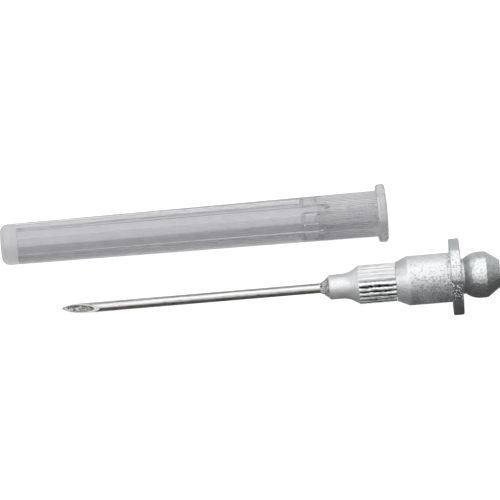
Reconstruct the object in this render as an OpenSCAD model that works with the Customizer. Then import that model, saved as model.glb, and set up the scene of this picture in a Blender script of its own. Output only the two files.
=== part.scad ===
// Grease injector needle with its protective cap taken off and lying beside it.
// The row stands on its lowest points: the needle's point and flange, the cap's rim and closed end.
// Lengths are in millimetres. Each piece is drawn upright on its own axis, then laid down.

/* [Steel tube] */
// Outer diameter of the tube
tube_d = 1.4; // [1.3:0.05:1.6]
// Bore of the tube
tube_bore_d = 1; // [0.7:0.05:1.1]
// Length of tube in front of the hub, from the point
tube_reach = 38; // [25:1:50]
// Length of the main grind, before the side grinds shorten it
bevel_len = 6.05; // [5.2:0.05:7]
// How far the two side grinds reach back along the bevel
lancet_len = 2.4; // [2:0.1:2.6]
// Angle of the side grinds to the tube
lancet_angle = 22; // [20:1:26]
// Turn of each side grind about the tube
lancet_turn = 35; // [30:1:38]
// Turn of the whole bevel about the tube, away from straight up
bevel_roll = 20; // [0:5:60]

/* [Bond] */
// Length of the bead in front of the hub
bead_len = 1.2; // [0.8:0.1:1.6]
// Diameter of the bead where it meets the hub
bead_d = 3.1; // [2.7:0.1:3.1]
// Depth of the bond inside the hub
bond_depth = 0.8; // [0.5:0.1:1.4]
// Diameter of the bond inside the hub
bond_d = 2.3; // [2:0.1:2.5]

/* [Hub] */
// Diameter of the hub's neck
neck_d = 3.5; // [3.4:0.1:3.6]
// Length of the parallel neck
neck_len = 1.9; // [1.5:0.1:3]
// Chamfer on the hub's front rim
neck_chamfer = 0.18; // [0.1:0.02:0.2]
// Length of the hollow curve behind the neck
blend_len = 1.3; // [1:0.1:1.6]
// Diameter at the back of the hollow curve
blend_d = 4.1; // [3.8:0.1:4.4]
// Length of the cone behind the curve
cone_len = 1.05; // [0.8:0.05:1.4]
// Diameter over the flutes
flute_d = 5.5; // [5.3:0.1:5.6]
// Length of the flutes
flute_len = 5.2; // [4:0.1:6]
// Number of flutes
flute_count = 22; // [18:1:24]
// Length over which each groove runs out at the front
flute_runout = 0.5; // [0.3:0.1:1]
// Diameter of the stem that the collar grips
stem_d = 4.3; // [4:0.1:4.4]
// Diameter of the hub's heel
heel_d = 5.6; // [5.4:0.1:5.6]
// Length of the hub's heel
heel_len = 1.4; // [1:0.1:1.8]
// Distance from the tube's back end to the hub's back face
tube_setback = 0.6; // [0.3:0.1:1]
// Diameter of the funnel at the hub's back face
funnel_d = 2.4; // [1.8:0.1:2.6]

/* [Seal] */
// Thickness of the seal washer behind the hub
seal_t = 0.7; // [0.5:0.1:1]
// Hole in the seal washer
seal_bore_d = 2.6; // [2:0.1:3]

/* [Adapter] */
// Diameter of the swaged collar's front edge
collar_d = 5.45; // [5.3:0.05:5.6]
// Length of the collar's inner lip
lip_len = 1.2; // [1:0.1:1.3]
// Length of the swaged shoulder
shoulder_len = 1.65; // [1.5:0.05:2.2]
// Diameter of the barrel
barrel_d = 6.95; // [6.8:0.05:7.6]
// Length of the barrel
barrel_len = 6; // [5.5:0.1:8]
// Diameter of the flange
flange_d = 10.75; // [9:0.25:13]
// Thickness of the flange
flange_t = 1.5; // [1.2:0.1:2.5]
// Round on the flange's edges
flange_round = 0.22; // [0.1:0.02:0.4]
// Wall between the hub's socket and the nipple's socket
web_t = 0.8; // [0.6:0.1:1.2]
// Passage through that wall
web_bore_d = 2; // [1.4:0.1:2.6]

/* [Grease nipple] */
// Diameter of the pressed shank
shank_d = 4.7; // [4.5:0.1:4.8]
// Diameter of the neck under the head
nipple_neck_d = 4.95; // [4.85:0.05:5.1]
// Diameter of the coupler head
head_d = 6.5; // [6.4:0.05:6.6]
// Distance from the flange to the widest part of the head
head_rise = 2.79; // [2.7:0.03:3]
// Parallel stretch at the widest part of the head
head_land = 0.5; // [0.3:0.1:0.7]
// Length of the rounded front of the head, before its cone
crown_len = 0.73; // [0.6:0.05:0.8]
// Distance from the flange to the tip of the head
head_len = 5.41; // [5.2:0.1:5.8]
// Diameter of the flat tip
tip_d = 3.76; // [3.4:0.1:4]
// Hole in the tip
inlet_d = 1.6; // [1.4:0.1:1.8]
// Length of the hole in the tip
inlet_len = 0.5; // [0.4:0.1:0.7]
// Chamfer round the hole
inlet_chamfer = 0.15; // [0.05:0.05:0.2]

/* [Check valve] */
// Diameter of the check ball
ball_d = 2.4; // [2.2:0.1:2.5]
// Bore that the ball and spring run in
chamber_d = 2.8; // [2.7:0.1:3]
// Wire of the spring
wire_d = 0.28; // [0.24:0.02:0.32]
// Number of curls in the spring
curl_count = 8; // [6:1:8]
// Thickness of the ring that holds the spring
retainer_t = 0.6; // [0.4:0.1:0.9]
// Hole in that ring
retainer_bore_d = 1.2; // [1:0.1:1.4]

/* [Protective cap] */
// Length of the cap
cap_len = 54.1; // [51:0.1:60]
// Outer diameter at the closed end
cap_end_d = 5.75; // [5.6:0.05:6]
// Outer diameter behind the rim
cap_mouth_d = 6.5; // [6.4:0.05:6.8]
// Diameter of the rim
rim_d = 8.15; // [7.6:0.05:9]
// Width of the rim
rim_t = 1.3; // [1:0.1:2]
// Round on the rim's edges
rim_round = 0.38; // [0.2:0.02:0.45]
// Solid length at the closed end
end_block = 2.3; // [1.5:0.1:3]
// Round on the closed end
end_round = 1.1; // [0.6:0.1:1.2]
// Plain length of bore inside the mouth
mouth_len = 1.3; // [1:0.1:2]
// Depth at which the splines end
spline_end = 9.7; // [8:0.1:10.5]
// Number of splines round the grip
spline_count = 60; // [40:2:72]
// Height of each spline
spline_h = 0.08; // [0.06:0.02:0.12]
// Depth at which the bore steps down to the needle's chamber
step_depth = 11.7; // [11:0.1:14]
// Length of that step
step_len = 0.4; // [0.2:0.1:0.8]
// Chamber diameter at the step
chamber_front_d = 4.7; // [4.4:0.1:4.9]
// Chamber diameter at its floor
chamber_floor_d = 4.3; // [4:0.1:4.4]
// Number of pads along the chamber
pad_count = 6; // [4:1:6]
// Width of each pad
pad_w = 1.1; // [0.8:0.1:1.3]
// Depth of the pads' pointed ends
pad_point = 7.8; // [7:0.1:8.5]
// Length of each pointed end
pad_gable = 1.1; // [0.6:0.1:1.6]

/* [How they lie] */
// Distance between the two axes, seen from above
cap_aside = 9.75; // [9.7:0.05:20]
// How far the cap's closed end lies beyond the needle's point
cap_lead = 7.3; // [0:0.1:20]

/* [Hidden] */

// Facets of a round surface where it is drawn on screen
round_facets = 96;
$fn = round_facets;

// Clearance of a press fit, of two faces that meet, and of a piece that slides
press_gap = 0.02;
seat_gap = 0.05;
slide_gap = 0.05;
// Overrun of a cut past the face it goes through
over = 0.5;

// Radii of the pieces on the needle's axis
tube_r = tube_d / 2;
bead_r = bead_d / 2;
neck_r = neck_d / 2;
blend_r = blend_d / 2;
flute_r = flute_d / 2;
heel_r = heel_d / 2;
socket_r = heel_r + press_gap;
flange_r = flange_d / 2;
shank_r = shank_d / 2;
head_r = head_d / 2;
tip_r = tip_d / 2;
inlet_r = inlet_d / 2;
ball_r = ball_d / 2;
chamber_r = chamber_d / 2;
wire_r = wire_d / 2;

// Stations along the needle's axis, from the point at zero to the tip of the nipple
hub_front = tube_reach;
bead_front = hub_front - bead_len;
bond_back = hub_front + bond_depth;
neck_back = hub_front + neck_len;
blend_back = neck_back + blend_len;
flute_front = blend_back + cone_len;
flute_back = flute_front + flute_len;
collar_front = flute_back + seat_gap;
barrel_front = collar_front + shoulder_len;
flange_front = barrel_front + barrel_len;
flange_back = flange_front + flange_t;
socket_front = collar_front + lip_len;
heel_front = socket_front + seat_gap;
hub_back = heel_front + heel_len;
tube_back = hub_back - tube_setback;
seal_front = hub_back + press_gap;
seal_back = seal_front + seal_t;
socket_back = seal_back + press_gap;
web_back = socket_back + web_t;
shank_front = web_back + seat_gap;
head_mid = flange_back + head_rise;
crown_back = head_mid + crown_len;
needle_len = flange_back + head_len;

// Bevel: the main grind, and where the side grinds cross it on the outer wall
bevel_angle = atan(tube_d / bevel_len);
cross_angle = acos(1 - lancet_len * tan(bevel_angle) / tube_r);
lancet_base = lancet_len - tube_r * (1 - cos(cross_angle + lancet_turn)) / tan(lancet_angle);
point_set = lancet_base + tube_r * (1 - cos(lancet_turn)) / tan(lancet_angle);

// Flutes: rods side by side round a core
ridge_share = 0.48;
ridge_pitch = 2 * flute_r * sin(180 / flute_count);
ridge_r = ridge_pitch * ridge_share;
flute_core_r = flute_r - ridge_r;
flute_step = ridge_r / 6;

// Seat of the check ball is a square-edged cone, half a right angle to the axis
seat_front = needle_len - inlet_len - (chamber_r - inlet_r);
seat_back = needle_len - inlet_len;
ball_at = seat_back + inlet_r - (ball_r + slide_gap) * sqrt(2);

// Spring between the retainer and the ball
retainer_front = shank_front + seat_gap;
retainer_back = retainer_front + retainer_t;
coil_r = chamber_r - wire_r - 4 * slide_gap;
coil_front = retainer_back + wire_r + press_gap;
coil_back = ball_at - sqrt(pow(ball_r + wire_r + press_gap, 2) - pow(coil_r, 2));
coil_len = coil_back - coil_front;
curl_rings = 8;
wire_sides = 6;

// Cap radii and depths measured from its closed end
cap_end_r = cap_end_d / 2;
cap_mouth_r = cap_mouth_d / 2;
rim_r = rim_d / 2;
spline_tip_r = flute_r + slide_gap;
spline_root_r = spline_tip_r + spline_h;
grip_bore_r = spline_root_r + press_gap;
chamber_front_r = chamber_front_d / 2;
chamber_floor_r = chamber_floor_d / 2;
pad_r = neck_r + 2 * slide_gap;
step_at = cap_len - step_depth;
point_at = cap_len - pad_point;

// Needle's rise: its point and its flange's front edge both touch the floor
point_drop = tube_r * cos(bevel_roll);
edge_at = flange_front + flange_round;
edge_r = flange_r - flange_round;
needle_rise = atan2(edge_r, edge_at)
    - asin((point_drop - flange_round) / norm([edge_at, edge_r]));

// Cap's rise: its rim and the round of its closed end both touch the floor
rim_at = cap_len - rim_t + rim_round;
rest_run = rim_at - end_round;
rest_drop = (rim_r - rim_round) - (cap_end_r - end_round);
cap_rise = atan2(rest_drop, rest_run)
    - asin((end_round - rim_round) / norm([rest_run, rest_drop]));
cap_height = end_round + (cap_end_r - end_round) * cos(cap_rise) - end_round * sin(cap_rise);

// Places that centre the row on its origin
row_len = cap_lead + needle_len * cos(needle_rise);
cap_x = -row_len / 2;
needle_x = cap_x + cap_lead;
needle_y = (flange_r - cap_aside - rim_r) / 2;
cap_y = needle_y + cap_aside;

// Lays what is drawn upright along +X, rising by an angle
module lay(x, y, z, rise) {
    translate([x, y, z]) rotate([0, 90 - rise, 0]) children();
}

module on_needle() {
    lay(needle_x, needle_y, point_drop, needle_rise) children();
}

module on_cap() {
    lay(cap_x, cap_y, cap_height, cap_rise) children();
}

// A rod or hole between two stations
module rod(r, from, to) {
    translate([0, 0, from]) cylinder(r = r, h = to - from);
}

// A cone between two stations
module taper(r1, r2, from, to) {
    translate([0, 0, from]) cylinder(r1 = r1, r2 = r2, h = to - from);
}

// Half outline of a rod between two stations, for turning
module band(r, from, to) {
    translate([0, from]) square([r, to - from]);
}

// Half outline of a cone between two stations, for turning
module slope(r1, r2, from, to) {
    polygon([[0, from], [r1, from], [r2, to], [0, to]]);
}

// Half outline of a hollow curve that leaves radius r1 without a corner and reaches r2
module hollow(r1, r2, from, to) {
    run = to - from;
    rise = r2 - r1;
    bend_r = (run * run + rise * rise) / (2 * rise);
    difference() {
        band(r2, from, to);
        translate([r1 + bend_r, from]) circle(r = bend_r, $fn = 4 * round_facets);
    }
}

// Half outline of a disc with two rounded edges
module rounded_band(r, from, to, edge) {
    band(r - edge, from, to);
    band(r, from + edge, to - edge);
    translate([r - edge, from + edge]) circle(r = edge);
    translate([r - edge, to - edge]) circle(r = edge);
}

// Half space on the open side of a grind that starts at a station on the tube's wall
module grind(angle, at) {
    reach = 2 * bevel_len;
    translate([tube_r, 0, at]) rotate([0, -angle, 0])
        translate([-reach, -reach, -reach]) cube([reach, 2 * reach, 3 * reach]);
}

module needle_tube() {
    color("lightgray") on_needle() difference() {
        rod(tube_r, -tube_r, tube_back);
        rod(tube_bore_d / 2, -tube_r - over, tube_back + over);
        rotate(bevel_roll) {
            grind(bevel_angle, -point_set);
            for (side = [-1, 1])
                rotate(side * lancet_turn) grind(lancet_angle, lancet_base - point_set);
        }
    }
}

module needle_bond() {
    color("darkgray") on_needle() difference() {
        rotate_extrude() {
            hollow(tube_r + 2 * press_gap, bead_r, bead_front, hub_front);
            band(bond_d / 2, hub_front - press_gap, bond_back);
        }
        rod(tube_r + press_gap, bead_front - over, bond_back + over);
    }
}

module needle_hub() {
    color("gainsboro") on_needle() difference() {
        union() {
            rotate_extrude() {
                slope(neck_r - neck_chamfer, neck_r, hub_front + press_gap, hub_front + neck_chamfer);
                band(neck_r, hub_front + neck_chamfer, neck_back);
                hollow(neck_r, blend_r, neck_back, blend_back);
                slope(blend_r, flute_r - flute_step, blend_back, flute_front);
                slope(flute_r - flute_step, flute_core_r, flute_front, flute_front + flute_runout);
                band(flute_core_r, flute_front, flute_back);
                band(stem_d / 2, flute_back - seat_gap, hub_back);
                band(heel_r, heel_front, hub_back);
            }
            translate([0, 0, flute_front]) linear_extrude(flute_len)
                for (i = [0:flute_count - 1])
                    rotate(i * 360 / flute_count) translate([flute_core_r, 0]) circle(r = ridge_r);
        }
        rod(bond_d / 2 + press_gap, hub_front - over, bond_back + press_gap);
        rod(tube_r + press_gap, hub_front - over, tube_back + press_gap);
        taper(tube_bore_d / 2, funnel_d / 2, tube_back, hub_back);
        rod(funnel_d / 2, hub_back, hub_back + over);
    }
}

module hub_seal() {
    color("dimgray") on_needle() difference() {
        rod(heel_r - press_gap, seal_front, seal_back);
        rod(seal_bore_d / 2, seal_front - over, seal_back + over);
    }
}

module adapter_body() {
    color("silver") on_needle() difference() {
        rotate_extrude() {
            slope(collar_d / 2, barrel_d / 2, collar_front, barrel_front);
            band(barrel_d / 2, barrel_front, flange_front + flange_round);
            rounded_band(flange_r, flange_front, flange_back, flange_round);
        }
        rod(stem_d / 2 + press_gap, collar_front - over, socket_back);
        rod(socket_r, socket_front, socket_back);
        rod(web_bore_d / 2, socket_back - over, web_back + over);
        rod(shank_r + press_gap, web_back, flange_back + over);
    }
}

module grease_nipple() {
    front_r = sqrt(pow(head_r, 2) - pow(crown_len - head_land / 2, 2));
    color("lightslategray") on_needle() difference() {
        rotate_extrude() {
            band(shank_r, shank_front, flange_back + seat_gap);
            band(nipple_neck_d / 2, flange_back + press_gap, head_mid);
            intersection() {
                band(head_r, flange_back + press_gap, crown_back);
                union() {
                    for (end = [-1, 1])
                        translate([0, head_mid + end * head_land / 2]) circle(r = head_r);
                    band(head_r, head_mid - head_land / 2, head_mid + head_land / 2);
                }
            }
            slope(front_r, tip_r, crown_back, needle_len);
        }
        rod(chamber_r, shank_front - over, seat_front);
        taper(chamber_r, inlet_r, seat_front, seat_back);
        rod(inlet_r, seat_back - over, needle_len + over);
        taper(inlet_r, inlet_r + inlet_chamfer, needle_len - inlet_chamfer, needle_len);
    }
}

module check_ball() {
    color("gold") on_needle() translate([0, 0, ball_at]) sphere(r = ball_r);
}

// One ring of the wire, square to the helix at a share of its whole run
function ring(share) =
    let (
        turn = share * curl_count * 360,
        out = [cos(turn), sin(turn), 0],
        climb = coil_len / (curl_count * 2 * PI * coil_r),
        along = [-sin(turn), cos(turn), climb] / norm([1, climb]),
        up = cross(along, out),
        mid = coil_r * out + [0, 0, coil_front + share * coil_len]
    )
    [for (i = [0:wire_sides - 1])
        mid + wire_r * (cos(i * 360 / wire_sides) * out + sin(i * 360 / wire_sides) * up)];

ring_count = curl_count * curl_rings + 1;
wire_rings = [for (i = [0:ring_count - 1]) ring(i / (ring_count - 1))];

// Least distance between the wire and the next curl, measured from point to point
curl_gap = min([
    for (i = [0:ring_count - 1 - curl_rings])
        for (p = wire_rings[i])
            for (q = wire_rings[i + curl_rings])
                norm(p - q)
]);

module check_spring() {
    echo(str("least gap of the spring to itself, mm: ", curl_gap));
    points = [for (r = wire_rings) for (p = r) p];
    last = (ring_count - 1) * wire_sides;
    skin = [
        for (i = [0:ring_count - 2])
            for (j = [0:wire_sides - 1])
                let (a = i * wire_sides + j, b = i * wire_sides + (j + 1) % wire_sides)
                    each [[a, b, b + wire_sides], [a, b + wire_sides, a + wire_sides]]
    ];
    front = [for (j = [1:wire_sides - 2]) [0, j + 1, j]];
    back = [for (j = [1:wire_sides - 2]) [last, last + j, last + j + 1]];
    color("darkkhaki") on_needle()
        polyhedron(points = points, faces = concat(skin, front, back));
}

module spring_retainer() {
    color("peru") on_needle() difference() {
        rod(chamber_r - press_gap, retainer_front, retainer_back);
        rod(retainer_bore_d / 2, retainer_front - over, retainer_back + over);
    }
}

// Ring of fine teeth, from the spline tips out to their roots
module spline_outline() {
    polygon([
        for (i = [0:2 * spline_count - 1])
            let (r = i % 2 == 0 ? spline_tip_r : spline_root_r, a = i * 180 / spline_count)
                r * [cos(a), sin(a)]
    ]);
}

// Flat pad with a pointed end, standing in from the wall
module pad() {
    half = pad_w / 2;
    shoulder = point_at - pad_gable;
    outline = [[-half, 0], [half, 0], [half, shoulder], [0, point_at], [-half, shoulder]];
    rotate([90, 0, 90]) translate([0, 0, pad_r]) linear_extrude(cap_mouth_r) polygon(outline);
}

module protective_cap() {
    color("whitesmoke") on_cap() difference() {
        rotate_extrude() {
            band(cap_end_r - end_round, 0, end_round);
            translate([cap_end_r - end_round, end_round]) intersection() {
                circle(r = end_round);
                translate([0, -end_round]) square(end_round);
            }
            slope(cap_end_r, cap_mouth_r, end_round, cap_len - rim_round);
            rounded_band(rim_r, cap_len - rim_t, cap_len, rim_round);
        }
        rod(grip_bore_r, cap_len - mouth_len, cap_len + over);
        difference() {
            union() {
                translate([0, 0, cap_len - spline_end])
                    linear_extrude(spline_end - mouth_len + over) spline_outline();
                rod(grip_bore_r, step_at, cap_len - spline_end);
                taper(chamber_front_r, grip_bore_r, step_at - step_len, step_at);
                taper(chamber_floor_r, chamber_front_r, end_block, step_at - step_len);
            }
            for (i = [0:pad_count - 1])
                rotate((i + 0.5) * 360 / pad_count) pad();
        }
    }
}

needle_tube();
needle_bond();
needle_hub();
hub_seal();
adapter_body();
grease_nipple();
check_ball();
check_spring();
spring_retainer();
protective_cap();
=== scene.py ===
import math
import bpy
from mathutils import Matrix, Vector


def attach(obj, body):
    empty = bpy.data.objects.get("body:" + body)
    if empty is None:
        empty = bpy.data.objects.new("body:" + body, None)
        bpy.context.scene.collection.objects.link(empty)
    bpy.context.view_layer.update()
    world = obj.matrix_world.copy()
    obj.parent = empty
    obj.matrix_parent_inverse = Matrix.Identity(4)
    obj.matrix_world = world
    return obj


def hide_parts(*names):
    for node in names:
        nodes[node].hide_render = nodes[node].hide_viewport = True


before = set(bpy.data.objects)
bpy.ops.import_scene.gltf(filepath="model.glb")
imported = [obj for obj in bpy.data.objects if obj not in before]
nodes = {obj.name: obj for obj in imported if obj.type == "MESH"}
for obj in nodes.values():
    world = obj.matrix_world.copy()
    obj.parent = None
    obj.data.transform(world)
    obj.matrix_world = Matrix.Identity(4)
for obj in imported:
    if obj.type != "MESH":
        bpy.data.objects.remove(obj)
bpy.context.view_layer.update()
mm = 0.001

# Where the two long pieces lie, in millimetres and degrees
layout = {
    "needleBase": (-27.2681, -4.225, 0.657785),  # the needle's axis at its point
    "needleRise": 4.86789,
    "capBase": (-34.5681, 5.525, 2.84919),  # the cap's axis at its closed end
    "capRise": 1.31974,
}


# Takes x along the piece's own axis, in millimetres, to the frame in metres
def layMatrix(base, rise):
    return (Matrix.Translation([mm * value for value in base])
            @ Matrix.Rotation(math.radians(-rise), 4, "Y") @ Matrix.Scale(mm, 4))


needleLay = layMatrix(layout["needleBase"], layout["needleRise"])
capLay = layMatrix(layout["capBase"], layout["capRise"])

print("camera")
cameraSettings = {
    "target": (0.08, 1.93, 3.0),
    "distance": 500.0,
    "viewWidth": 70.1,
    "roll": 4.85,
    "leanBack": 2.5,  # towards the needle's point
    "leanSide": 0.0,
    "sensor": 36.0,
}


def makeCamera(values):
    roll = math.radians(values["roll"])
    back = Vector((-math.tan(math.radians(values["leanBack"])),
                   -math.tan(math.radians(values["leanSide"])), 1)).normalized()
    up = Vector((math.sin(roll), math.cos(roll), 0))
    right = up.cross(back).normalized()
    up = back.cross(right)
    camera = bpy.data.objects.new("camera", bpy.data.cameras.new("camera"))
    bpy.context.scene.collection.objects.link(camera)
    turn = Matrix((right, up, back)).transposed().to_4x4()
    place = mm * (Vector(values["target"]) + values["distance"] * back)
    camera.matrix_world = Matrix.Translation(place) @ turn
    camera.data.sensor_width = values["sensor"]
    camera.data.lens = values["distance"] * values["sensor"] / values["viewWidth"]
    bpy.context.scene.camera = camera


makeCamera(cameraSettings)
bpy.context.scene.view_settings.view_transform = "Standard"

print("lamps")
lampSettings = {
    "keyBox": {"elevation": 29.5, "facing": 4.85, "distance": 600,
               "width": 840, "height": 572, "radiance": 1.12},
    "topBox": {"elevation": 75.5, "facing": 4.85, "distance": 650,
               "width": 750, "height": 486, "radiance": 0.92},
    "frontBox": {"elevation": 113.0, "facing": 4.85, "distance": 650,
                 "width": 750, "height": 380, "radiance": 0.62},
    "pointBox": {"elevation": 42.0, "facing": -78.0, "distance": 620,
                 "width": 560, "height": 520, "radiance": 1.2},
}


def makeSoftbox(name, values):
    side, rise = math.radians(values["facing"]), math.radians(values["elevation"])
    outward = Vector((math.sin(side) * math.cos(rise), math.cos(side) * math.cos(rise), math.sin(rise)))
    lamp = bpy.data.lights.new(name, "AREA")
    lamp.shape = "RECTANGLE"
    lamp.size = mm * values["width"]
    lamp.size_y = mm * values["height"]
    lamp.energy = math.pi * lamp.size * lamp.size_y * values["radiance"]
    box = bpy.data.objects.new(name, lamp)
    bpy.context.scene.collection.objects.link(box)
    box.location = mm * values["distance"] * outward
    box.rotation_euler = outward.to_track_quat("Z", "Y").to_euler()
    box.visible_camera = False


for lampName, lampValues in lampSettings.items():
    makeSoftbox(lampName, lampValues)


# Node helpers
def addNode(tree, kind, **settings):
    node = tree.nodes.new(kind)
    for key, value in settings.items():
        setattr(node, key, value)
    return node


def feed(tree, socket, value):
    if isinstance(value, bpy.types.NodeSocket):
        tree.links.new(value, socket)
    else:
        socket.default_value = value


def mathNode(tree, operation, *values):
    node = addNode(tree, "ShaderNodeMath", operation=operation)
    for socket, value in zip(node.inputs, values):
        feed(tree, socket, value)
    return node.outputs[0]


def times(tree, value, *others):
    for other in others:
        value = mathNode(tree, "MULTIPLY", value, other)
    return value


def vectorNode(tree, operation, *values):
    node = addNode(tree, "ShaderNodeVectorMath", operation=operation)
    for socket, value in zip(node.inputs, values):
        feed(tree, socket, value)
    return node.outputs[1] if operation == "LENGTH" else node.outputs[0]


def axes(tree, place):
    apart = addNode(tree, "ShaderNodeSeparateXYZ")
    tree.links.new(place, apart.inputs[0])
    return apart.outputs


def joined(tree, *values):
    together = addNode(tree, "ShaderNodeCombineXYZ")
    for socket, value in zip(together.inputs, values):
        feed(tree, socket, value)
    return together.outputs[0]


def mapRange(tree, value, low, high, toLow=0.0, toHigh=1.0, smooth=True):
    node = addNode(tree, "ShaderNodeMapRange")
    node.interpolation_type = "SMOOTHSTEP" if smooth else "LINEAR"
    for name, entry in (("Value", value), ("From Min", low), ("From Max", high),
                        ("To Min", toLow), ("To Max", toHigh)):
        feed(tree, node.inputs[name], entry)
    return node.outputs["Result"]


def blend(tree, share, low, high):
    return mapRange(tree, share, 0.0, 1.0, low, high)


# 1 between full and fading, and 0 before start and after end
def between(tree, value, start, full, fading, end):
    return times(tree, mapRange(tree, value, start, full), mapRange(tree, value, fading, end, 1.0, 0.0))


def mixColor(tree, share, first, second):
    node = addNode(tree, "ShaderNodeMix", data_type="RGBA")
    feed(tree, node.inputs["Factor"], share)
    for socket, value in ((node.inputs[6], first), (node.inputs[7], second)):
        feed(tree, socket, value if isinstance(value, bpy.types.NodeSocket) else (*value, 1))
    return node.outputs[2]


def mixFloat(tree, share, first, second):
    node = addNode(tree, "ShaderNodeMix", data_type="FLOAT")
    for index, value in ((0, share), (2, first), (3, second)):
        feed(tree, node.inputs[index], value)
    return node.outputs[0]


def noiseNode(tree, vector, scale, detail, roughness):
    node = addNode(tree, "ShaderNodeTexNoise")
    for name, value in (("Vector", vector), ("Scale", scale), ("Detail", detail), ("Roughness", roughness)):
        feed(tree, node.inputs[name], value)
    return node.outputs["Fac"]


def newGroup(name, inputs, outputs):
    tree = bpy.data.node_groups.new(name, "ShaderNodeTree")
    for socketName, socketType, default in inputs:
        socket = tree.interface.new_socket(name=socketName, in_out="INPUT", socket_type=socketType)
        if default is not None:
            socket.default_value = default
    for socketName, socketType in outputs:
        tree.interface.new_socket(name=socketName, in_out="OUTPUT", socket_type=socketType)
    return tree, addNode(tree, "NodeGroupInput").outputs, addNode(tree, "NodeGroupOutput").inputs


def useGroup(tree, group, **values):
    node = addNode(tree, "ShaderNodeGroup", node_tree=group)
    for key, value in values.items():
        feed(tree, node.inputs[key], value)
    return node.outputs


# Mesh helpers, with lengths in millimetres and angles in degrees
meshSettings = {
    "turnedMerge": 0.001,
    "copyMerge": 0.0002,
    "flat": 0.6,  # faces that lean less than this become one before the bevels
}


def editAlone(piece):
    bpy.ops.object.select_all(action="DESELECT")
    piece.select_set(True)
    bpy.context.view_layer.objects.active = piece


def standFor(piece, node, body):
    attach(piece, body)
    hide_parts(node)


# A closed outline of (station, radius) rings, drawn out ring by ring and laid along its axis
def turnedPiece(name, rings, count, lay):
    bpy.ops.object.select_all(action="DESELECT")
    bpy.ops.mesh.primitive_circle_add(vertices=count, radius=rings[0][1], location=(0, 0, rings[0][0]))
    piece = bpy.context.active_object
    piece.name = piece.data.name = name
    bpy.ops.object.transform_apply(location=True, rotation=True, scale=True)
    bpy.ops.object.mode_set(mode="EDIT")
    bpy.ops.mesh.select_all(action="SELECT")
    for (station, radius), (nextStation, nextRadius) in zip(rings, rings[1:] + rings[:1]):
        bpy.ops.mesh.extrude_region_move(TRANSFORM_OT_translate={"value": (0, 0, nextStation - station)})
        bpy.ops.transform.resize(value=(nextRadius / radius, nextRadius / radius, 1),
                                 center_override=(0, 0, nextStation))
    bpy.ops.mesh.select_all(action="SELECT")
    bpy.ops.mesh.remove_doubles(threshold=meshSettings["turnedMerge"])
    bpy.ops.mesh.normals_make_consistent(inside=False)
    bpy.ops.object.mode_set(mode="OBJECT")
    piece.matrix_world = lay @ Matrix.Rotation(math.radians(90), 4, "Y")
    bpy.ops.object.transform_apply(location=True, rotation=True, scale=True)
    return piece


# A merged copy of a CAD mesh, with small bevels on the sharp edges that values["edges"] chooses
def refinedCopy(node, name, materials, body, lay, values):
    piece = nodes[node].copy()
    piece.data = nodes[node].data.copy()
    piece.parent = None
    piece.name = piece.data.name = name
    for key in list(piece.keys()):
        del piece[key]
    bpy.context.scene.collection.objects.link(piece)
    editAlone(piece)
    bpy.ops.mesh.customdata_custom_splitnormals_clear()
    piece.data.materials.clear()  # set before the bevels, which give their faces a material
    for finish in materials:
        piece.data.materials.append(finish)
    bpy.ops.object.mode_set(mode="EDIT")
    bpy.ops.mesh.select_mode(type="VERT")
    bpy.ops.mesh.select_all(action="SELECT")
    bpy.ops.mesh.remove_doubles(threshold=meshSettings["copyMerge"] * mm)
    bpy.ops.mesh.normals_make_consistent(inside=False)
    bpy.ops.mesh.select_all(action="DESELECT")
    bpy.ops.object.mode_set(mode="OBJECT")
    toPiece = lay.inverted()
    for vertex in piece.data.vertices:
        station = (toPiece @ vertex.co).x
        vertex.select = not any(low < station < high for low, high in values["keep"])
    bpy.ops.object.mode_set(mode="EDIT")
    bpy.ops.mesh.dissolve_limited(angle_limit=math.radians(meshSettings["flat"]))
    bpy.ops.mesh.select_mode(type="EDGE")
    for width, sharpest, low, high, above, below, finish in values["edges"]:
        bpy.ops.mesh.select_all(action="DESELECT")
        bpy.ops.mesh.edges_select_sharp(sharpness=math.radians(sharpest))
        bpy.ops.object.mode_set(mode="OBJECT")
        for edge in piece.data.edges:
            places = [toPiece @ piece.data.vertices[index].co for index in edge.vertices]
            radii = [math.hypot(place.y, place.z) for place in places]
            edge.select = (edge.select and low <= min(place.x for place in places)
                           and max(place.x for place in places) <= high
                           and above <= min(radii) and max(radii) <= below)
        bpy.ops.object.mode_set(mode="EDIT")
        bpy.ops.mesh.bevel(offset=width * mm, segments=values["segments"], affect="EDGES",
                           clamp_overlap=True, material=finish)
    bpy.ops.mesh.select_mode(type="VERT")
    bpy.ops.object.mode_set(mode="OBJECT")
    bpy.ops.object.shade_smooth_by_angle(angle=math.radians(values["smoothAngle"]))
    standFor(piece, node, body)
    return piece


def cutAcross(piece, lay, values):
    editAlone(piece)
    axis = (lay.to_3x3() @ Vector((1, 0, 0))).normalized()
    bpy.ops.object.mode_set(mode="EDIT")
    for step in range(values["cutCount"]):
        station = values["cutStart"] + values["cutPitch"] * step
        bpy.ops.mesh.select_all(action="SELECT")
        bpy.ops.mesh.bisect(plane_co=lay @ Vector((station, 0, 0)), plane_no=axis)
    bpy.ops.object.mode_set(mode="OBJECT")


# Pushes the surface between two stations in and out by a cloud pattern
def roughen(piece, lay, values):
    toPiece = lay.inverted()
    zone = piece.vertex_groups.new(name="zone")
    for vertex in piece.data.vertices:
        place = toPiece @ vertex.co
        if values["from"] < place.x < values["to"] and math.hypot(place.y, place.z) > values["above"]:
            zone.add([vertex.index], 1.0, "REPLACE")
    lumps = bpy.data.textures.new(piece.name + "Lumps", "CLOUDS")
    lumps.noise_scale = values["lumpSize"] * mm
    editAlone(piece)
    rough = piece.modifiers.new("lumps", "DISPLACE")
    rough.texture = lumps
    rough.strength = values["lumpHeight"] * mm
    rough.mid_level = values["middle"]
    rough.vertex_group = zone.name
    bpy.ops.object.modifier_apply(modifier=rough.name)
    bpy.ops.object.shade_smooth_by_angle(angle=math.radians(values["smoothAngle"]))


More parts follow.
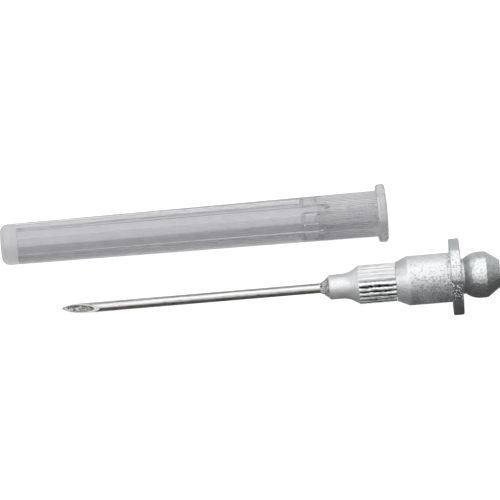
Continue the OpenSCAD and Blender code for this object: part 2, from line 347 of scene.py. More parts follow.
print("shared effects")
noiseSettings = {  # detail and roughness
    "fine": (4.0, 0.65), "broad": (3.0, 0.55), "streaks": (3.0, 0.6), "rings": (2.0, 0.7),
    "patchRange": (0.35, 0.65), "grainMiddle": 0.5,
}


# Station along the axis, distance from it and angle round it
def makePolar():
    tree, given, out = newGroup("polar", [("Vector", "NodeSocketVector", None)],
                                [("Along", "NodeSocketFloat"), ("Radius", "NodeSocketFloat"),
                                 ("Turn", "NodeSocketFloat")])
    x, y, z = axes(tree, given["Vector"])
    flat = vectorNode(tree, "MULTIPLY", given["Vector"], (0, 1, 1))
    tree.links.new(x, out["Along"])
    tree.links.new(vectorNode(tree, "LENGTH", flat), out["Radius"])
    tree.links.new(mathNode(tree, "ARCTAN2", y, z), out["Turn"])
    return tree


# Fine grain of one size, and the soft patches that it gathers in
def makeGrain(values):
    tree, given, out = newGroup("grain", [("Vector", "NodeSocketVector", None),
                                          ("Size", "NodeSocketFloat", 0.3),
                                          ("Patch Size", "NodeSocketFloat", 2.0),
                                          ("Contrast", "NodeSocketFloat", 0.5)],
                                [("Grain", "NodeSocketFloat"), ("Patches", "NodeSocketFloat"),
                                 ("Height", "NodeSocketFloat")])
    fine = noiseNode(tree, given["Vector"], mathNode(tree, "DIVIDE", 1.0, given["Size"]), *values["fine"])
    broad = noiseNode(tree, given["Vector"], mathNode(tree, "DIVIDE", 1.0, given["Patch Size"]),
                      *values["broad"])
    half = mathNode(tree, "MULTIPLY", given["Contrast"], 0.5)
    low = mathNode(tree, "SUBTRACT", values["grainMiddle"], half)
    high = mathNode(tree, "ADD", values["grainMiddle"], half)
    tree.links.new(mapRange(tree, fine, low, high), out["Grain"])
    tree.links.new(mapRange(tree, broad, *values["patchRange"]), out["Patches"])
    tree.links.new(fine, out["Height"])
    return tree


# Long thin marks along x
def makeStreaks(values):
    tree, given, out = newGroup("streaks", [("Vector", "NodeSocketVector", None),
                                            ("Length", "NodeSocketFloat", 10.0),
                                            ("Width", "NodeSocketFloat", 0.1)],
                                [("Streaks", "NodeSocketFloat")])
    size = joined(tree, given["Length"], given["Width"], given["Width"])
    stretched = vectorNode(tree, "DIVIDE", given["Vector"], size)
    tree.links.new(noiseNode(tree, stretched, 1.0, *values["streaks"]), out["Streaks"])
    return tree


# Rings that a cutting tool leaves round a turned piece
def makeTurning(values):
    tree, given, out = newGroup("turning", [("Along", "NodeSocketFloat", 0.0),
                                            ("Radius", "NodeSocketFloat", 0.0),
                                            ("Pitch", "NodeSocketFloat", 0.12)],
                                [("Rings", "NodeSocketFloat")])
    place = joined(tree, mathNode(tree, "DIVIDE", given["Along"], given["Pitch"]),
                   mathNode(tree, "DIVIDE", given["Radius"], given["Pitch"]))
    tree.links.new(noiseNode(tree, place, 1.0, *values["rings"]), out["Rings"])
    return tree


# Sparse small specks, each of which fades over its outer half
def makeSpecks():
    tree, given, out = newGroup("specks", [("Vector", "NodeSocketVector", None),
                                           ("Spacing", "NodeSocketFloat", 1.0),
                                           ("Share", "NodeSocketFloat", 0.3),
                                           ("Size", "NodeSocketFloat", 0.15)],
                                [("Specks", "NodeSocketFloat")])
    cells = addNode(tree, "ShaderNodeTexVoronoi")
    tree.links.new(given["Vector"], cells.inputs["Vector"])
    feed(tree, cells.inputs["Scale"], mathNode(tree, "DIVIDE", 1.0, given["Spacing"]))
    chosen = mathNode(tree, "LESS_THAN", vectorNode(tree, "LENGTH", cells.outputs["Color"]), given["Share"])
    near = mapRange(tree, cells.outputs["Distance"], mathNode(tree, "MULTIPLY", given["Size"], 0.5),
                    given["Size"], 1.0, 0.0)
    tree.links.new(times(tree, chosen, near), out["Specks"])
    return tree


polarGroup = makePolar()
grainGroup = makeGrain(noiseSettings)
streakGroup = makeStreaks(noiseSettings)
turningGroup = makeTurning(noiseSettings)
speckGroup = makeSpecks()


def newMaterial(name, **constants):
    material = bpy.data.materials.new(name)
    material.use_nodes = True
    tree = material.node_tree
    shader = tree.nodes["Principled BSDF"]
    for key, value in constants.items():
        shader.inputs[key.replace("_", " ")].default_value = value
    return material, tree, shader


# Object coordinates in millimetres, turned so that x runs along the piece
def ownCoordinates(tree, base, rise):
    places = addNode(tree, "ShaderNodeTexCoord")
    turned = addNode(tree, "ShaderNodeMapping")
    turn = Matrix.Rotation(math.radians(rise), 4, "Y")
    turned.inputs["Scale"].default_value = (1 / mm,) * 3
    turned.inputs["Rotation"].default_value = (0, math.radians(rise), 0)
    turned.inputs["Location"].default_value = turn @ -Vector(base)
    tree.links.new(places.outputs["Object"], turned.inputs["Vector"])
    return turned.outputs[0]


def needleCoordinates(tree):
    return ownCoordinates(tree, layout["needleBase"], layout["needleRise"])


def capCoordinates(tree):
    return ownCoordinates(tree, layout["capBase"], layout["capRise"])


# relief is the bump's strength, and its depth in millimetres
def bumpNode(tree, shader, height, relief):
    strength, depth = relief
    node = addNode(tree, "ShaderNodeBump")
    node.inputs["Strength"].default_value = strength
    node.inputs["Distance"].default_value = mm * depth
    tree.links.new(height, node.inputs["Height"])
    tree.links.new(node.outputs[0], shader.inputs["Normal"])


print("floor and surroundings")
stageSettings = {
    "size": 1600,
    "floorGrey": 0.75,
    "mirrorShadeLevels": (0.10, 0.75),  # what metal shows of the floor, in front and behind; the dark front is a painted shadow
    "mirrorEdge": (-12.0, -2.0),
    "cameraLift": 0.7,
    # the floor's painted level behind clear plastic, a painted shadow of the cap: in its shade, under it and
    # at its lit side
    "seeThrough": (0.38, 0.60, 0.76),
    "shadeEdge": (3.7, 4.6),
    "litEdge": (5.5, 7.5),
    "mirrorLift": 0.02,
    "ambient": 0.35,
    "mirrorAmbient": (0.16, 0.50),  # in front and behind
    "mirrorTurn": (-0.6, 0.3),
    "whiteBelow": (0.1, 0.3),  # white behind the plastic, and not above it
}


def makeFloor(values):
    bpy.ops.object.select_all(action="DESELECT")
    bpy.ops.mesh.primitive_plane_add(size=mm * values["size"], location=(0, 0, 0))
    floor = bpy.context.active_object
    floor.name = "floor"
    material = bpy.data.materials.new("paleFloor")
    material.use_nodes = True
    tree = material.node_tree
    tree.nodes.clear()
    path = addNode(tree, "ShaderNodeLightPath").outputs
    across = axes(tree, addNode(tree, "ShaderNodeTexCoord").outputs["Object"])[1]

    def overEdge(edge, low, high):
        return mapRange(tree, across, *[mm * place for place in values[edge]], low, high)

    paint = addNode(tree, "ShaderNodeBsdfDiffuse")
    # painted shadow: for glossy rays the floor in front is painted dark
    shade = overEdge("mirrorEdge", *values["mirrorShadeLevels"])
    shade = mapRange(tree, path["Is Glossy Ray"], 0.0, 1.0, values["floorGrey"], shade, smooth=False)
    shade = mapRange(tree, path["Is Transmission Ray"], 0.0, 1.0, shade, 0.0, smooth=False)
    tree.links.new(shade, paint.inputs["Color"])
    # painted shadow of the cap, glowing on the floor that is seen through clear plastic
    shaded, under, lit = values["seeThrough"]
    level = mathNode(tree, "ADD", overEdge("shadeEdge", shaded, under), overEdge("litEdge", 0.0, lit - under))
    lift = times(tree, path["Is Camera Ray"], values["cameraLift"])
    for kind, amount in (("Is Transmission Ray", level), ("Is Glossy Ray", values["mirrorLift"])):
        lift = mathNode(tree, "MAXIMUM", lift, times(tree, path[kind], amount))
    glow = addNode(tree, "ShaderNodeEmission")
    tree.links.new(lift, glow.inputs["Strength"])
    both = addNode(tree, "ShaderNodeAddShader")
    tree.links.new(paint.outputs[0], both.inputs[0])
    tree.links.new(glow.outputs[0], both.inputs[1])
    tree.links.new(both.outputs[0], addNode(tree, "ShaderNodeOutputMaterial").inputs[0])
    floor.data.materials.append(material)


def makeWorld(values):
    world = bpy.data.worlds.new("surroundings")
    bpy.context.scene.world = world
    world.use_nodes = True
    tree = world.node_tree
    path = addNode(tree, "ShaderNodeLightPath").outputs
    towards = axes(tree, addNode(tree, "ShaderNodeTexCoord").outputs["Generated"])
    mirrored = mapRange(tree, towards[1], *values["mirrorTurn"], *values["mirrorAmbient"])
    level = mapRange(tree, path["Is Diffuse Ray"], 0.0, 1.0, mirrored, values["ambient"], smooth=False)
    behind = mapRange(tree, towards[2], *values["whiteBelow"], 1.0, 0.0)
    white = mathNode(tree, "MAXIMUM", path["Is Camera Ray"], times(tree, path["Is Transmission Ray"], behind))
    background = tree.nodes["Background"].inputs
    tree.links.new(mathNode(tree, "MAXIMUM", white, level), background["Strength"])
    background["Color"].default_value = (1, 1, 1, 1)


makeFloor(stageSettings)
makeWorld(stageSettings)

# In the finishes, ranges along, across and round a piece are millimetres and radians in its own axes
print("metals")
tubeFinish = {
    "bright": (0.76, 0.75, 0.74), "dull": (0.54, 0.53, 0.52), "roughness": (0.14, 0.27),
    "streakLength": 9.0, "streakWidth": 0.12, "streakRange": (0.38, 0.62), "polishRange": (0.3, 0.7),
    "grainSize": 0.28, "grainContrast": 0.8,
    # the ground wall of the point, near white and half matt: ground steel with a painted highlight
    "ground": (0.96, 0.96, 0.95), "groundEdges": (0.512, 0.525, 0.685, 0.70),
    "groundMetal": 0.35, "groundRoughness": 0.42,
    # the bore, dark as painted shade, with light residue specks and a painted-shade line at its edge
    "lumenEdges": (0.501, 0.505), "boreEdgeShade": (0.03, 0.03, 0.03),
    "inside": (0.13, 0.125, 0.12), "residue": (0.98, 0.96, 0.92), "residueRange": (0.3, 0.8),
    "lumenMetal": 0.4, "lumenRoughness": 0.6,
    # the lower side, darker and with dark mottles there: painted shade
    "tubeShadeSide": (0.22, -0.35), "tubeShade": (0.50, 0.49, 0.48), "mottle": (0.22, 0.22, 0.21),
    "mottleLength": 1.2, "mottleSize": 0.3, "mottleRange": (0.52, 0.66),
    "grainDepth": 0.3, "relief": (0.25, 0.03),
}


def tubeSteel(values):
    material, tree, shader = newMaterial("tubeSteel")
    place = needleCoordinates(tree)
    radius = useGroup(tree, polarGroup, Vector=place)["Radius"]
    streaks = useGroup(tree, streakGroup, Vector=place, Length=values["streakLength"],
                       Width=values["streakWidth"])["Streaks"]
    grain = useGroup(tree, grainGroup, Vector=place, Size=values["grainSize"],
                     Contrast=values["grainContrast"])
    drawn = mixColor(tree, mapRange(tree, streaks, *values["streakRange"]), values["dull"], values["bright"])
    # painted shade: the tube's lower side darker, with dark mottles there
    shadedLow = mapRange(tree, axes(tree, place)[1], *values["tubeShadeSide"])
    drawn = mixColor(tree, shadedLow, drawn, values["tubeShade"])
    mottles = useGroup(tree, streakGroup, Vector=place, Length=values["mottleLength"],
                       Width=values["mottleSize"])["Streaks"]
    mottles = times(tree, mapRange(tree, mottles, *values["mottleRange"]), shadedLow)
    drawn = mixColor(tree, mottles, drawn, values["mottle"])
    pastBore = mapRange(tree, radius, *values["groundEdges"][:2])
    inWall = between(tree, radius, *values["groundEdges"])
    # painted shade in the bore and in a line at its edge
    lumen = mixColor(tree, mapRange(tree, grain["Grain"], *values["residueRange"]),
                     values["inside"], values["residue"])
    lumen = mixColor(tree, mapRange(tree, radius, *values["lumenEdges"]), lumen, values["boreEdgeShade"])
    # the ground wall near white: ground steel with a painted highlight
    color = mixColor(tree, inWall, mixColor(tree, pastBore, lumen, drawn), values["ground"])
    tree.links.new(color, shader.inputs["Base Color"])
    metal = times(tree, blend(tree, inWall, 1.0, values["groundMetal"]),
                  blend(tree, pastBore, values["lumenMetal"], 1.0))
    tree.links.new(metal, shader.inputs["Metallic"])
    polish = mapRange(tree, streaks, *values["polishRange"], *values["roughness"])
    polish = blend(tree, inWall, polish, values["groundRoughness"])
    tree.links.new(blend(tree, pastBore, values["lumenRoughness"], polish), shader.inputs["Roughness"])
    height = mathNode(tree, "ADD", streaks, times(tree, grain["Height"], values["grainDepth"]))
    bumpNode(tree, shader, height, values["relief"])
    return material


hubFinish = {
    "bright": (0.79, 0.80, 0.81), "dull": (0.60, 0.61, 0.62), "roughness": (0.40, 0.55),
    # painted light: the upper side lighter and less metallic
    "film": (0.60, 0.82), "litFilm": 0.35, "litSide": (-0.2, 1.6),
    "grainSize": 0.26, "grainContrast": 0.5,
    # painted shade in the grooves between the flutes and painted highlights on the ridge tops, both on the
    # lower side; and dark nicks at the front edge
    "groove": (0.02, 0.02, 0.02), "fluted": (42.3, 47.46), "grooveRadii": (2.56, 2.70),
    "ragged": 0.26, "raggedLength": 0.9, "raggedWidth": 0.35, "lowerSideEdge": (0.7, -0.3),
    "frontEdge": (38.0, 38.5), "nickSpacing": 0.3, "nickShare": 1.0, "nickSize": 0.5,
    "crestRadii": (2.64, 2.72), "crest": (0.97, 0.97, 0.98), "crestRoughness": 0.26,
    "relief": (0.6, 0.05),
}


def hubAluminium(values):
    material, tree, shader = newMaterial("hubAluminium")
    place = needleCoordinates(tree)
    grain = useGroup(tree, grainGroup, Vector=place, Size=values["grainSize"],
                     Contrast=values["grainContrast"])
    polar = useGroup(tree, polarGroup, Vector=place)
    across = axes(tree, place)[1]
    wander = useGroup(tree, streakGroup, Vector=place, Length=values["raggedLength"],
                      Width=values["raggedWidth"])["Streaks"]
    ragged = times(tree, mathNode(tree, "SUBTRACT", wander, 0.5), values["ragged"])
    groove = mapRange(tree, mathNode(tree, "ADD", polar["Radius"], ragged), *values["grooveRadii"], 1.0, 0.0)
    front, back = values["fluted"]
    groove = times(tree, groove, mathNode(tree, "GREATER_THAN", polar["Along"], front),
                   mathNode(tree, "LESS_THAN", polar["Along"], back))
    # painted shade in the grooves and painted highlights on the ridge tops of the lower side
    lowerSide = mapRange(tree, across, *values["lowerSideEdge"])
    # painted light on the upper side
    litUpper = mapRange(tree, across, *values["litSide"])
    color = mixColor(tree, grain["Grain"], values["dull"], values["bright"])
    color = mixColor(tree, litUpper, color, values["bright"])
    nicks = useGroup(tree, speckGroup, Vector=place, Spacing=values["nickSpacing"],
                     Share=values["nickShare"], Size=values["nickSize"])["Specks"]
    edge = mapRange(tree, polar["Along"], *values["frontEdge"], 1.0, 0.0)
    color = mixColor(tree, times(tree, nicks, edge), color, values["groove"])
    crest = times(tree, mapRange(tree, polar["Radius"], *values["crestRadii"]), lowerSide)
    color = mixColor(tree, crest, color, values["crest"])
    color = mixColor(tree, times(tree, groove, lowerSide), color, values["groove"])
    tree.links.new(color, shader.inputs["Base Color"])
    film = blend(tree, grain["Patches"], *values["film"])
    tree.links.new(blend(tree, litUpper, film, values["litFilm"]), shader.inputs["Metallic"])
    satin = blend(tree, grain["Patches"], *values["roughness"])
    tree.links.new(blend(tree, crest, satin, values["crestRoughness"]), shader.inputs["Roughness"])
    bumpNode(tree, shader, grain["Height"], values["relief"])
    return material


adapterFinish = {
    # the barrel's lower side is painted darker, a painted shade, and its pits gather there
    "bright": (0.80, 0.81, 0.82), "dull": (0.62, 0.64, 0.65), "lowerShade": (0.30, 0.32, 0.33),
    "film": (0.60, 0.85), "roughness": (0.36, 0.52), "grainSize": 0.3, "grainContrast": 0.8,
    "barrelStart": (49.2, 49.7),
    "pits": (0.07, 0.08, 0.08), "pitSpacing": 0.19, "pitShare": (0.45, 1.05), "pitSize": 0.55,
    "shadeAndPitSide": (2.2, -1.5), "pitCover": 0.6, "pitDepth": 0.4,
    "corner": (53.6, 55.2), "cornerPits": 0.35, "cornerChips": 0.8,
    "chips": (0.97, 0.97, 0.97), "chipShift": (7.3, 1.9, 4.1),
    "chipSpacing": 0.22, "chipShare": 0.95, "chipSize": 0.6,
    # the flange's rim: its upper side with a painted grey reflection, its lower side in painted shade, and
    # the dark patch there
    "rimRadius": 5.3, "underside": (2.0, 2.8), "wobble": 0.12,
    "duller": (0.72, 0.80), "rimTop": (0.47, 0.49, 0.50), "shade": (0.20, 0.22, 0.22),
    "patchTurns": (-0.02, -0.18), "patchEnds": (-0.55, -0.75), "patch": (0.10, 0.12, 0.12),
    "patchCover": 0.6, "relief": (0.8, 0.08),
}


def adapterZinc(values):
    material, tree, shader = newMaterial("adapterZinc")
    place = needleCoordinates(tree)
    polar = useGroup(tree, polarGroup, Vector=place)
    grain = useGroup(tree, grainGroup, Vector=place, Size=values["grainSize"],
                     Contrast=values["grainContrast"])
    # painted shade on the barrel's lower side, where the pits are also denser
    shadeAndPits = times(tree, mapRange(tree, axes(tree, place)[1], *values["shadeAndPitSide"]),
                 mapRange(tree, polar["Along"], *values["barrelStart"]))
    dull = mixColor(tree, shadeAndPits, values["dull"], values["lowerShade"])
    color = mixColor(tree, grain["Grain"], dull, values["bright"])
    share = mapRange(tree, shadeAndPits, 0.0, 1.0, *values["pitShare"], smooth=False)
    share = mathNode(tree, "ADD", share,
                     mapRange(tree, polar["Along"], *values["corner"], 0.0, values["cornerPits"]))
    pits = useGroup(tree, speckGroup, Vector=place, Spacing=values["pitSpacing"], Share=share,
                    Size=values["pitSize"])["Specks"]
    color = mixColor(tree, times(tree, pits, values["pitCover"]), color, values["pits"])
    wobble = times(tree, mathNode(tree, "SUBTRACT", grain["Grain"], 0.5), values["wobble"])
    turn = mathNode(tree, "ADD", polar["Turn"], wobble)
    onRim = times(tree, mathNode(tree, "GREATER_THAN", polar["Radius"], values["rimRadius"]),
                  mapRange(tree, mathNode(tree, "ABSOLUTE", turn), *values["underside"], 1.0, 0.0))
    below = times(tree, onRim, mapRange(tree, turn, *values["patchTurns"]))
    patch = times(tree, below, mapRange(tree, turn, *values["patchEnds"], 1.0, 0.0))
    # painted reflection of grey on the rim's upper side, painted shade on its lower side
    behind = times(tree, onRim, mapRange(tree, turn, *values["duller"]))
    color = mixColor(tree, behind, color, values["rimTop"])
    color = mixColor(tree, below, color, values["shade"])
    color = mixColor(tree, times(tree, patch, values["patchCover"]), color, values["patch"])
    shifted = vectorNode(tree, "ADD", place, values["chipShift"])
    chips = useGroup(tree, speckGroup, Vector=shifted, Spacing=values["chipSpacing"],
                     Share=values["chipShare"], Size=values["chipSize"])["Specks"]
    corner = times(tree, mapRange(tree, polar["Along"], *values["corner"], 0.0, values["cornerChips"]),
                   mathNode(tree, "SUBTRACT", 1.0, onRim))
    color = mixColor(tree, times(tree, chips, mathNode(tree, "MAXIMUM", patch, corner)), color,
                     values["chips"])
    tree.links.new(color, shader.inputs["Base Color"])
    tree.links.new(blend(tree, grain["Patches"], *values["film"]), shader.inputs["Metallic"])
    tree.links.new(blend(tree, grain["Patches"], *values["roughness"]), shader.inputs["Roughness"])
    height = mathNode(tree, "SUBTRACT", grain["Height"], times(tree, pits, values["pitDepth"]))
    bumpNode(tree, shader, height, values["relief"])
    return material


nippleFinish = {
    "bright": (0.70, 0.72, 0.72), "dull": (0.46, 0.49, 0.49), "roughness": (0.15, 0.26),
    "grainSize": 0.4, "grainContrast": 0.4, "ringPitch": 0.16, "ringDepth": 0.5, "relief": (0.7, 0.10),
}


def nippleSteel(values):
    material, tree, shader = newMaterial("nippleSteel", Metallic=1.0)
    place = needleCoordinates(tree)
    polar = useGroup(tree, polarGroup, Vector=place)
    grain = useGroup(tree, grainGroup, Vector=place, Size=values["grainSize"],
                     Contrast=values["grainContrast"])
    rings = useGroup(tree, turningGroup, Along=polar["Along"], Radius=polar["Radius"],
                     Pitch=values["ringPitch"])["Rings"]
    tree.links.new(mixColor(tree, grain["Grain"], values["dull"], values["bright"]),
                   shader.inputs["Base Color"])
    tree.links.new(blend(tree, grain["Patches"], *values["roughness"]), shader.inputs["Roughness"])
    height = mathNode(tree, "ADD", grain["Height"], times(tree, rings, values["ringDepth"]))
    bumpNode(tree, shader, height, values["relief"])
    return material


innerFinish = {
    "grainSize": 0.2, "darker": 0.75, "duller": 0.12,
    # node, material, colour and roughness
    "pieces": [("check_ball", "ballSteel", (0.70, 0.70, 0.71), 0.08),
               ("check_spring", "springSteel", (0.45, 0.45, 0.46), 0.3),
               ("spring_retainer", "retainerBrass", (0.75, 0.62, 0.35), 0.3)],
}


def plainMetal(name, color, roughness, values):
    material, tree, shader = newMaterial(name, Metallic=1.0)
    grain = useGroup(tree, grainGroup, Vector=needleCoordinates(tree), Size=values["grainSize"])
    darker = tuple(values["darker"] * value for value in color)
    tree.links.new(mixColor(tree, grain["Grain"], darker, color), shader.inputs["Base Color"])
    tree.links.new(blend(tree, grain["Patches"], roughness, roughness + values["duller"]),
                   shader.inputs["Roughness"])
    return material


print("plastic, rubber and bond")
capFinish = {
    "clear": (0.872, 0.866, 0.888), "milky": (0.842, 0.836, 0.858), "frosted": (0.98, 0.98, 0.98),
    "ior": 1.49, "transmission": 0.94, "grainSize": 0.3, "speckle": 0.965,
    "outsideRoughness": 0.05, "boreRoughness": (0.10, 0.16), "frostRoughness": (0.3, 0.45),
    "endRadius": 2.875, "mouthRadius": 3.25, "length": 54.1, "skin": (0.05, 0.2),
    # the solid end, with painted shade on its front side
    "block": (2.2, 2.4), "blockShade": 0.86, "blockSide": (0.8, -1.2),
    # the band and the line along the wall, both painted shade
    "bandSide": (-0.7, -1.0, -1.75, -2.05), "bandShade": 0.925,
    "line": (-1.40, -1.58, -1.78, -1.90), "lineShade": 0.93, "bandEnd": (52.6, 52.8),
    # the matt bore between the step and the splines, its sides painted lighter as painted light
    "mattBore": (42.3, 42.5, 44.3, 44.5), "mattRoughness": 0.25, "litSides": (1.5, 2.2), "sideLift": 1.14,
    # the splines, with painted shade on the teeth of the upper wall
    "teethZone": (44.3, 44.5, 52.7, 52.9), "teethSide": (1.2, 1.8), "teethShade": 0.68, "boreRadius": 2.95,
}


def capPlastic(values):
    material, tree, shader = newMaterial("clearPlastic", IOR=values["ior"],
                                         Transmission_Weight=values["transmission"])
    place = capCoordinates(tree)
    polar = useGroup(tree, polarGroup, Vector=place)
    grain = useGroup(tree, grainGroup, Vector=place, Size=values["grainSize"])
    along, across, height = axes(tree, place)
    aside = mathNode(tree, "ABSOLUTE", across)
    beforeMouth = mapRange(tree, along, *values["bandEnd"], 1.0, 0.0)
    band = times(tree, between(tree, across, *values["bandSide"]), beforeMouth)
    line = times(tree, between(tree, across, *values["line"]), beforeMouth)
    matt = between(tree, along, *values["mattBore"])
    # painted light: the matt bore lighter at its sides
    litSideZone = times(tree, matt, mapRange(tree, aside, *values["litSides"]))
    # painted shade in the band and the line; painted light on the matt bore's sides
    wallShade = times(tree, blend(tree, band, 1.0, values["bandShade"]),
                      blend(tree, line, 1.0, values["lineShade"]),
                      blend(tree, litSideZone, 1.0, values["sideLift"]))
    # painted shade on the front side of the solid end
    endShade = mapRange(tree, across, *values["blockSide"], 1.0, values["blockShade"])
    shade = mixFloat(tree, mapRange(tree, along, *values["block"], 1.0, 0.0), wallShade, endShade)
    # painted shade on the teeth of the upper wall
    teeth = times(tree, between(tree, along, *values["teethZone"]),
                  mapRange(tree, aside, *values["teethSide"], 1.0, 0.0),
                  mathNode(tree, "LESS_THAN", polar["Radius"], values["boreRadius"]),
                  mathNode(tree, "GREATER_THAN", height, 0.0))
    level = times(tree, shade, blend(tree, grain["Grain"], values["speckle"], 1.0),
                  blend(tree, teeth, 1.0, values["teethShade"]))
    color = mixColor(tree, grain["Patches"], values["milky"], values["clear"])
    color = vectorNode(tree, "SCALE", color, (0, 0, 0), (0, 0, 0), level)
    tree.links.new(color, shader.inputs["Base Color"])
    wall = mapRange(tree, along, 0.0, values["length"], values["endRadius"], values["mouthRadius"],
                    smooth=False)
    depth = mathNode(tree, "SUBTRACT", wall, polar["Radius"])
    bore = blend(tree, matt, blend(tree, grain["Patches"], *values["boreRoughness"]),
                 values["mattRoughness"])
    tree.links.new(mapRange(tree, depth, *values["skin"], values["outsideRoughness"], bore),
                   shader.inputs["Roughness"])
    return material


# Opaque rough white facets: a painted reflection of the light that the moulded edges inside the wall throw
# back
def frosted(values):
    material, tree, shader = newMaterial("frostedPlastic", IOR=values["ior"])
    grain = useGroup(tree, grainGroup, Vector=capCoordinates(tree), Size=values["grainSize"])
    tree.links.new(mixColor(tree, grain["Grain"], values["clear"], values["frosted"]),
                   shader.inputs["Base Color"])
    tree.links.new(blend(tree, grain["Patches"], *values["frostRoughness"]), shader.inputs["Roughness"])
    return material


bondFinish = {
    "dark": (0.16, 0.16, 0.17), "light": (0.62, 0.63, 0.65), "metal": 0.2, "roughness": 0.45,
    "grainSize": 0.3, "grainContrast": 0.9, "spacing": 0.22, "share": 0.95,
    "holes": (0.02, 0.02, 0.02), "holeSize": 0.55,
    "grit": (0.98, 0.98, 0.98), "gritSize": 0.6, "gritShift": (3.1, 5.7, 2.3),
    "relief": (0.9, 0.12),
}


def bondCompound(values):
    material, tree, shader = newMaterial("bondCompound", Metallic=values["metal"],
                                         Roughness=values["roughness"])
    place = needleCoordinates(tree)
    grain = useGroup(tree, grainGroup, Vector=place, Size=values["grainSize"],
                     Contrast=values["grainContrast"])
    color = mixColor(tree, grain["Grain"], values["dark"], values["light"])
    shifted = vectorNode(tree, "ADD", place, values["gritShift"])
    for where, size, tint in ((place, values["holeSize"], values["holes"]),
                              (shifted, values["gritSize"], values["grit"])):
        specks = useGroup(tree, speckGroup, Vector=where, Spacing=values["spacing"],
                          Share=values["share"], Size=size)["Specks"]
        color = mixColor(tree, specks, color, tint)
    tree.links.new(color, shader.inputs["Base Color"])
    bumpNode(tree, shader, grain["Height"], values["relief"])
    return material


sealFinish = {
    "dark": (0.03, 0.03, 0.032), "light": (0.055, 0.055, 0.06), "roughness": (0.6, 0.8),
    "grainSize": 0.2, "relief": (0.3, 0.03),
}


def sealRubber(values):
    material, tree, shader = newMaterial("sealRubber")
    grain = useGroup(tree, grainGroup, Vector=needleCoordinates(tree), Size=values["grainSize"])
    tree.links.new(mixColor(tree, grain["Grain"], values["dark"], values["light"]),
                   shader.inputs["Base Color"])
    tree.links.new(blend(tree, grain["Grain"], *values["roughness"]), shader.inputs["Roughness"])
    bumpNode(tree, shader, grain["Height"], values["relief"])
    return material


def dress(node, material):
    nodes[node].data.materials.clear()
    nodes[node].data.materials.append(material)


aluminium = hubAluminium(hubFinish)
zinc = adapterZinc(adapterFinish)
turnedSteel = nippleSteel(nippleFinish)
roughBond = bondCompound(bondFinish)
clearPlastic = capPlastic(capFinish)
frostedPlastic = frosted(capFinish)
dress("needle_tube", tubeSteel(tubeFinish))
dress("needle_hub", aluminium)
dress("adapter_body", zinc)
dress("grease_nipple", turnedSteel)
dress("needle_bond", roughBond)
dress("hub_seal", sealRubber(sealFinish))
for nodeName, metalName, metalColor, metalRoughness in innerFinish["pieces"]:
    dress(nodeName, plainMetal(metalName, metalColor, metalRoughness, innerFinish))
dress("protective_cap", clearPlastic)

print("bead")
beadShape = {
    # station along the needle and radius, round the closed outline
    "rings": [(36.78, 0.712), (36.85, 0.76), (36.95, 0.79), (37.08, 0.83), (37.2, 0.89), (37.32, 0.96),
              (37.44, 1.04), (37.55, 1.13), (37.65, 1.22), (37.74, 1.31), (37.83, 1.40), (37.91, 1.48),
              (37.98, 1.53), (38.0, 1.15), (38.78, 1.15), (38.78, 0.712), (37.9, 0.712)],
    "count": 64, "from": 36.7, "to": 37.95, "above": 0.74,
    "lumpSize": 0.22, "lumpHeight": 0.22, "middle": 0.55, "smoothAngle": 50,
}
bead = turnedPiece("bondBead", beadShape["rings"], beadShape["count"], needleLay)
bead.data.materials.append(roughBond)
roughen(bead, needleLay, beadShape)
standFor(bead, "needle_bond", "needle_assembly")

# In each shape, "keep" lists stations where no faces are merged. An entry of "edges" is the bevel's
# width, the least angle, the stations from and to, the radii above and below, and the finish's index.
print("hub")
hubShape = {
    "keep": [(42.1, 42.3), (47.4, 47.6)],
    "edges": [(0.08, 25, 37.9, 42.0, 1.4, 3.0, 0)], "segments": 2, "smoothAngle": 32,
    "cutStart": 42.3, "cutPitch": 0.28, "cutCount": 19,
    "from": 42.26, "to": 47.44, "above": 2.3, "lumpSize": 0.30, "lumpHeight": 0.2, "middle": 0.66,
}
wornHub = refinedCopy("needle_hub", "wornHub", [aluminium], "needle_assembly",
                      needleLay, hubShape)
cutAcross(wornHub, needleLay, hubShape)
roughen(wornHub, needleLay, hubShape)

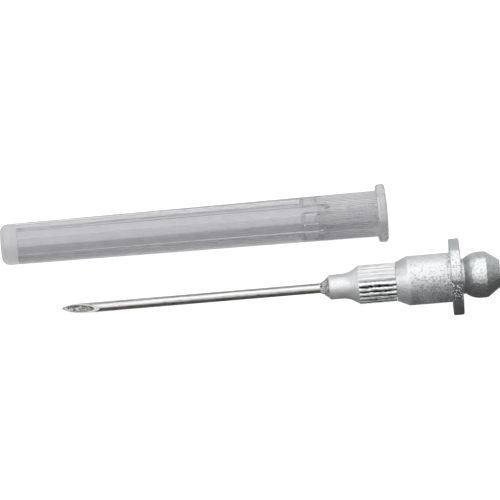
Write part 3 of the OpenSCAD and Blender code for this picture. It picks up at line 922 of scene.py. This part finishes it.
print("adapter and nipple")
adapterShape = {"keep": [], "edges": [(0.06, 15, 40, 60, 2.9, 6, 0)], "segments": 2, "smoothAngle": 16}
refinedCopy("adapter_body", "platedBody", [zinc], "needle_assembly",
            needleLay, adapterShape)
nippleShape = {"keep": [], "edges": [(0.05, 25, 56, 63, 1.2, 6, 0)], "segments": 2, "smoothAngle": 20}
refinedCopy("grease_nipple", "turnedNipple", [turnedSteel], "needle_assembly",
            needleLay, nippleShape)

print("cap")
capShape = {
    "keep": [(44.2, 44.6), (52.6, 53.0)],
    "edges": [(0.12, 22, 41.0, 46.6, 1.6, 2.95, 1), (0.05, 22, 2.0, 41.0, 1.6, 2.95, 0),
              (0.10, 30, 52.9, 54.2, 2.8, 6, 1)],
    "segments": 2, "smoothAngle": 30,
    "step": {"from": 41.9, "to": 42.45, "above": 0, "below": 2.95}, "mouth": 54.0,
    "teeth": {"from": 44.45, "to": 52.8, "above": 2.7, "below": 2.95, "lean": 0.25},
    "pads": {"from": 42.3, "to": 46.6, "above": 1.7, "below": 2.95, "upright": 0.5, "lean": 0.3},
    "leastRadius": 0.01,
}
capShell = refinedCopy("protective_cap", "capShell", [clearPlastic, frostedPlastic], "cap",
                       capLay, capShape)


def within(place, radius, zone):
    return zone["from"] < place.x < zone["to"] and zone["above"] < radius < zone["below"]


# The mould's core leaves the narrowing bore, the pads' ends and one side of each tooth matt; their opaque
# white colour is a painted reflection
def frostFaces(piece, values):
    toCap = capLay.inverted()
    turnToCap = capLay.to_3x3().normalized().inverted()
    step, teeth, pads = values["step"], values["teeth"], values["pads"]
    for face in piece.data.polygons:
        place = toCap @ face.center
        normal = turnToCap @ face.normal
        radius = math.hypot(place.y, place.z)
        reach = max(radius, values["leastRadius"])
        outwards = (normal.y * place.y + normal.z * place.z) / reach
        sideways = (normal.y * place.z - normal.z * place.y) / reach
        padEnd = (within(place, radius, pads) and abs(outwards) < pads["upright"]
                  and (normal.x > pads["lean"] or normal.y < -pads["lean"]))
        toothSide = within(place, radius, teeth) and sideways > teeth["lean"]
        if within(place, radius, step) or place.x > values["mouth"] or padEnd or toothSide:
            face.material_index = 1


frostFaces(capShell, capShape)
